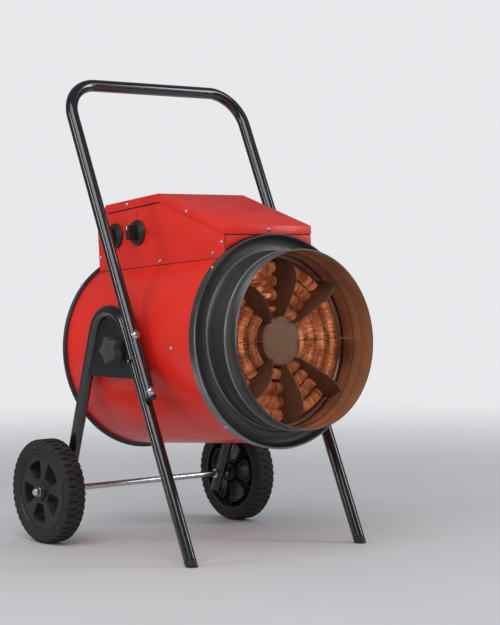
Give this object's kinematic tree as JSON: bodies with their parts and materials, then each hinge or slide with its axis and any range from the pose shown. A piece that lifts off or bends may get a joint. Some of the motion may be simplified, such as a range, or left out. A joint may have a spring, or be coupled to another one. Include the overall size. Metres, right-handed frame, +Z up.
{
  "type": "forced air heater",
  "caption": "Red steel fan heater drum with finned ring elements and a control box, tilting in a black tubular two-wheeled trolley with a push handle.",
  "frame": {"origin": "on the floor, under the middle of the whole object", "axes": "+Z up, the hot air leaves towards -Y, the wheels are at +Y, the control knobs face -X"},
  "size_m": [0.538, 0.6032, 0.8925],
  "materials": {
    "red_paint": "satin red powder coat",
    "black_tube": "gloss black powder coat",
    "black_sheet": "satin black paint",
    "zinc": "bright zinc plate",
    "bare_steel": "bare sheet steel",
    "heated_steel": "steel browned by heat",
    "hot_element": "copper-orange finned tube",
    "cast_alloy": "rough cast alloy",
    "black_plastic": "matte black moulded plastic",
    "wheel_plastic": "matte black moulded plastic",
    "tyre_rubber": "matte black rubber",
    "pale_plastic": "pale moulded plastic"
  },
  "bodies": {
    "trolley": {"side_frame_left": "black_tube", "pivot_plate_left": "black_tube", "foot_plug_left": "black_plastic", "side_frame_right": "black_tube", "pivot_plate_right": "black_tube", "foot_plug_right": "black_plastic", "handle_tube": "black_tube", "handle_cap_left": "black_plastic", "handle_cap_right": "black_plastic", "handle_bolt_lower_left": "zinc", "handle_bolt_upper_left": "zinc", "handle_bolt_lower_right": "zinc", "handle_bolt_upper_right": "zinc", "axle": "zinc", "wheel_spacer_left": "zinc", "wheel_spacer_right": "zinc", "axle_nut_left": "zinc", "axle_nut_right": "zinc"},
    "drum": {"drum_shell": "red_paint", "rear_ring": "black_sheet", "rear_guard": "black_sheet", "outlet_collar": "black_sheet", "outlet_spigot": "black_sheet", "inner_liner": "bare_steel", "outlet_baffle": "heated_steel", "element_support_1": "heated_steel", "element_support_2": "heated_steel", "element_support_3": "heated_steel", "element_support_4": "heated_steel", "element_support_5": "heated_steel", "element_support_6": "heated_steel", "element_support_7": "heated_steel", "element_support_8": "heated_steel", "heating_element_1": "hot_element", "heating_element_2": "hot_element", "heating_element_3": "hot_element", "heating_element_4": "hot_element", "heating_element_5": "hot_element", "heating_element_6": "hot_element", "motor_body": "cast_alloy", "motor_bracket": "zinc", "control_housing": "red_paint", "control_lid": "red_paint", "selector_switch": "pale_plastic", "thermostat": "pale_plastic", "contactor": "pale_plastic", "terminal_block": "pale_plastic", "cable_gland": "black_plastic", "tilt_stud_left": "zinc", "tilt_stud_right": "zinc"},
    "fan": {"fan_impeller": "cast_alloy", "motor_shaft": "bare_steel"},
    "wheel_left": {"wheel_centre_left": "wheel_plastic", "tyre_left": "tyre_rubber"},
    "wheel_right": {"wheel_centre_right": "wheel_plastic", "tyre_right": "tyre_rubber"},
    "tilt_knob_left": {"tilt_knob_left": "black_plastic"},
    "tilt_knob_right": {"tilt_knob_right": "black_plastic"},
    "selector_knob": {"selector_knob": "black_plastic"},
    "thermostat_knob": {"thermostat_knob": "black_plastic"}
  },
  "joints": [
    {"name": "drum_tilt", "type": "hinge", "parent": "trolley", "child": "drum", "pos_m": [0, -0.00335, 0.3778], "axis": [1, 0, 0], "range_deg": [-11, 14]},
    {"name": "fan_spin", "type": "hinge", "parent": "drum", "child": "fan", "pos_m": [0, 0.06249, 0.3732], "axis": [0, 0.9976, -0.0698], "continuous": true},
    {"name": "wheel_left_spin", "type": "hinge", "parent": "trolley", "child": "wheel_left", "pos_m": [-0.2339, 0.20165, 0.1], "axis": [1, 0, 0], "continuous": true},
    {"name": "wheel_right_spin", "type": "hinge", "parent": "trolley", "child": "wheel_right", "pos_m": [0.2339, 0.20165, 0.1], "axis": [1, 0, 0], "continuous": true},
    {"name": "tilt_knob_left_turn", "type": "hinge", "parent": "drum", "child": "tilt_knob_left", "pos_m": [-0.22, -0.00335, 0.3778], "axis": [-1, 0, 0], "range_deg": [0, 360]},
    {"name": "tilt_knob_right_turn", "type": "hinge", "parent": "drum", "child": "tilt_knob_right", "pos_m": [0.22, -0.00335, 0.3778], "axis": [1, 0, 0], "range_deg": [0, 360]},
    {"name": "selector_turn", "type": "hinge", "parent": "drum", "child": "selector_knob", "pos_m": [-0.11, 0.08103, 0.59544], "axis": [1, 0, 0], "range_deg": [0, 135]},
    {"name": "thermostat_turn", "type": "hinge", "parent": "drum", "child": "thermostat_knob", "pos_m": [-0.11, 0.15386, 0.59035], "axis": [1, 0, 0], "range_deg": [0, 270]}
  ]
}
